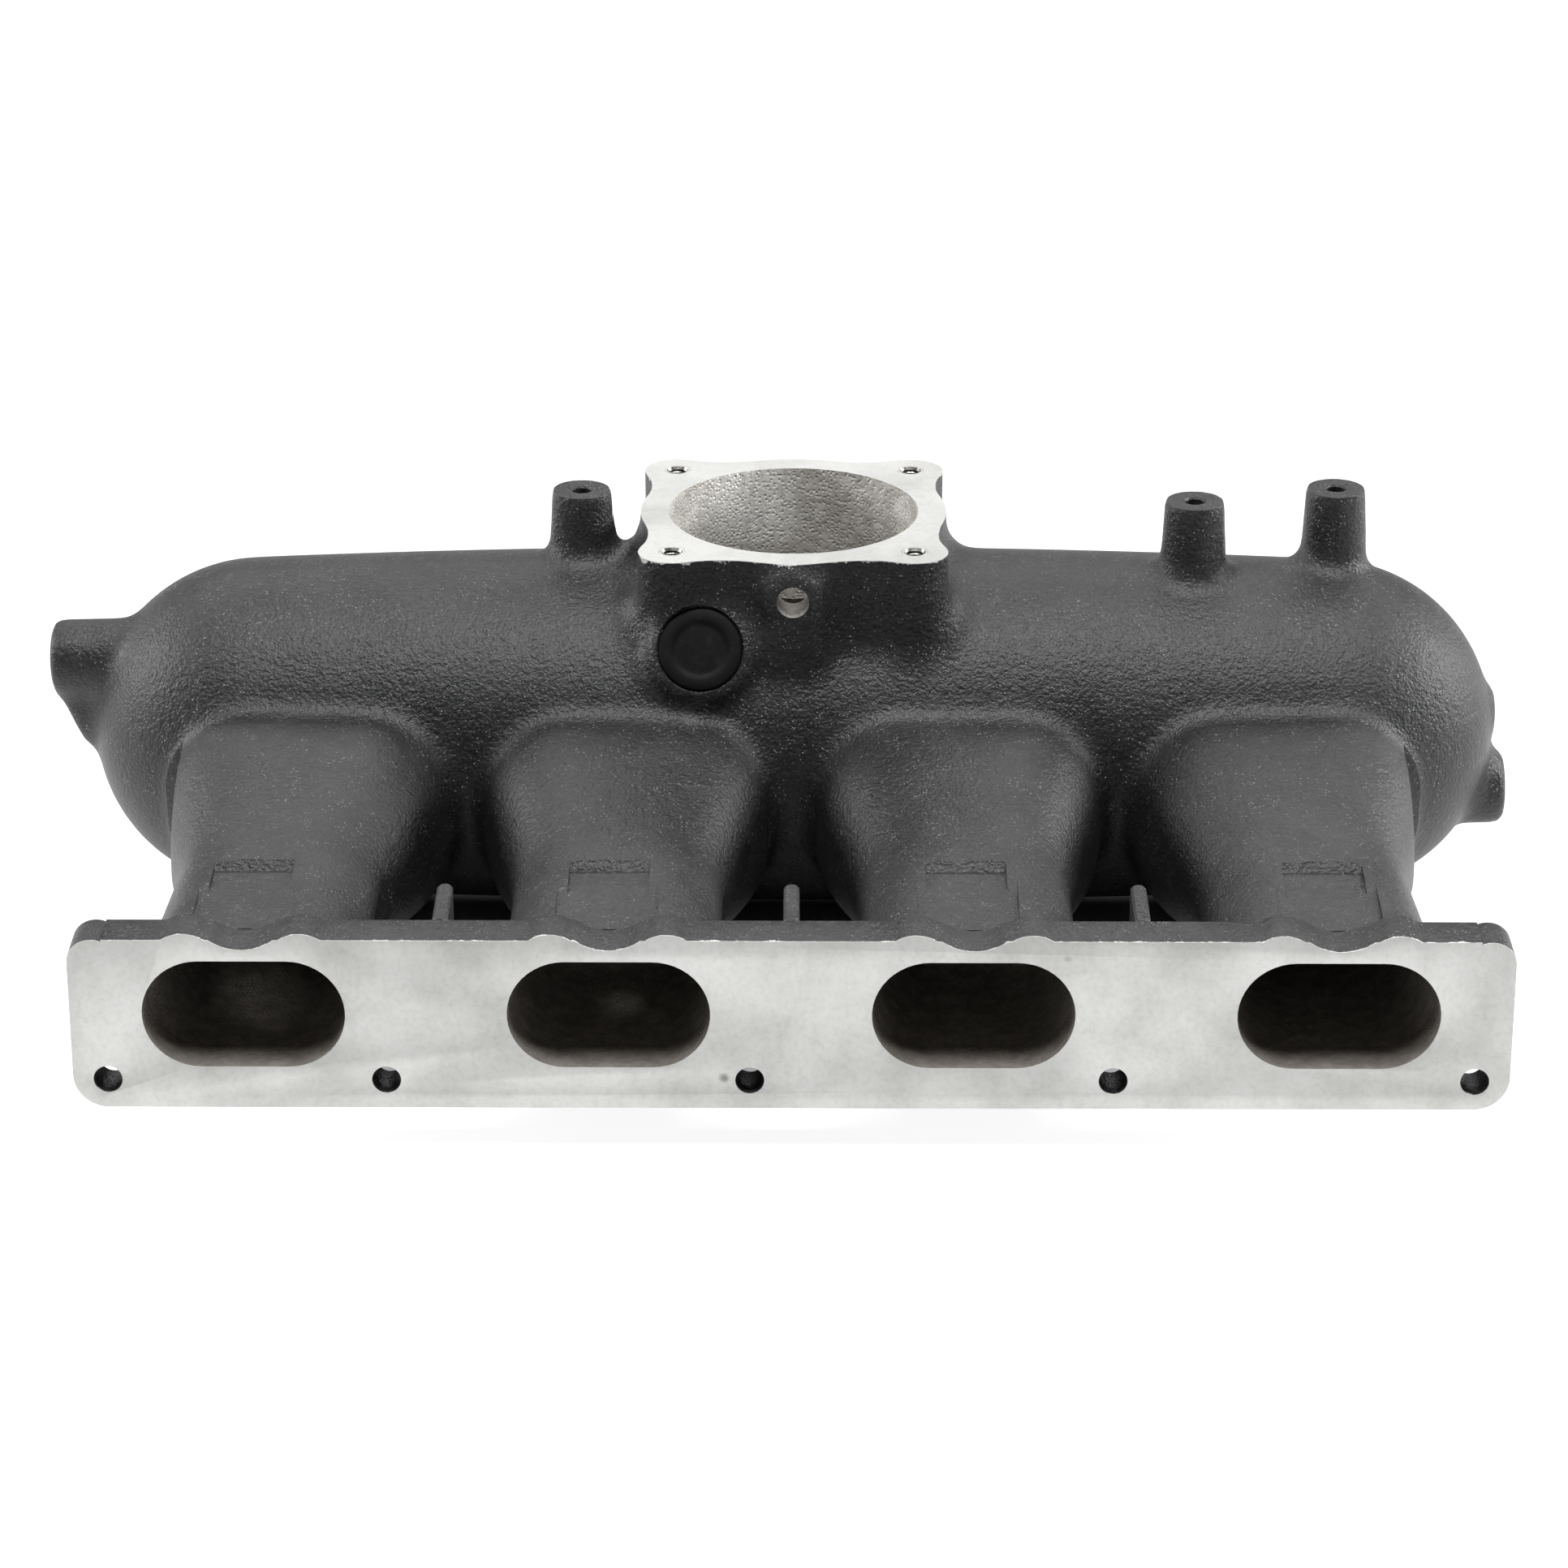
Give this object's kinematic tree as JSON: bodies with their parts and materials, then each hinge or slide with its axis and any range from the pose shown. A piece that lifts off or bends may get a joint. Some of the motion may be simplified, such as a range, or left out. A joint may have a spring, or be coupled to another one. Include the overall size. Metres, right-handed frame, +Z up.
{
  "type": "intake manifold",
  "caption": "Cast-aluminium intake manifold: slotted head flange, bell-shaped runners, domed log plenum, square top throttle flange, tapped bosses and a plugged sensor port.",
  "frame": {"origin": "centre of the machined cylinder-head face, level with the middle of the ports", "axes": "+X along the row of ports, -Y into the cylinder head, +Z up towards the throttle body"},
  "size_m": [0.3895, 0.2055, 0.1125],
  "materials": {
    "cast_coat": "fine textured dark powder coat over cast aluminium",
    "machined_face": "machined aluminium with fine cutter marks",
    "thread_insert": "bright stainless wire thread",
    "plug_plastic": "satin black moulded rubber",
    "seal_rubber": "smooth black O-ring rubber"
  },
  "bodies": {
    "manifold": {"head_flange": "machined_face", "runner_1": "cast_coat", "runner_2": "cast_coat", "runner_3": "cast_coat", "runner_4": "cast_coat", "rib_left": "cast_coat", "rib_middle": "cast_coat", "rib_right": "cast_coat", "plenum_barrel": "cast_coat", "plenum_left_dome": "cast_coat", "plenum_right_dome": "cast_coat", "throttle_neck": "cast_coat", "throttle_flange": "machined_face", "throttle_thread_inserts": "thread_insert", "bracket_boss_left": "cast_coat", "bracket_boss_inner": "cast_coat", "bracket_boss_outer": "cast_coat", "sensor_port_boss": "cast_coat", "vacuum_port_boss": "cast_coat", "left_end_boss": "cast_coat", "right_end_boss": "cast_coat", "right_end_pad": "cast_coat"},
    "plug": {"blanking_plug": "plug_plastic", "plug_o_ring": "seal_rubber"}
  },
  "joints": [
    {"name": "plug_pull", "type": "slide", "parent": "manifold", "child": "plug", "axis": [0, -0.866, 0.5], "range_m": [0, 0.012]}
  ]
}
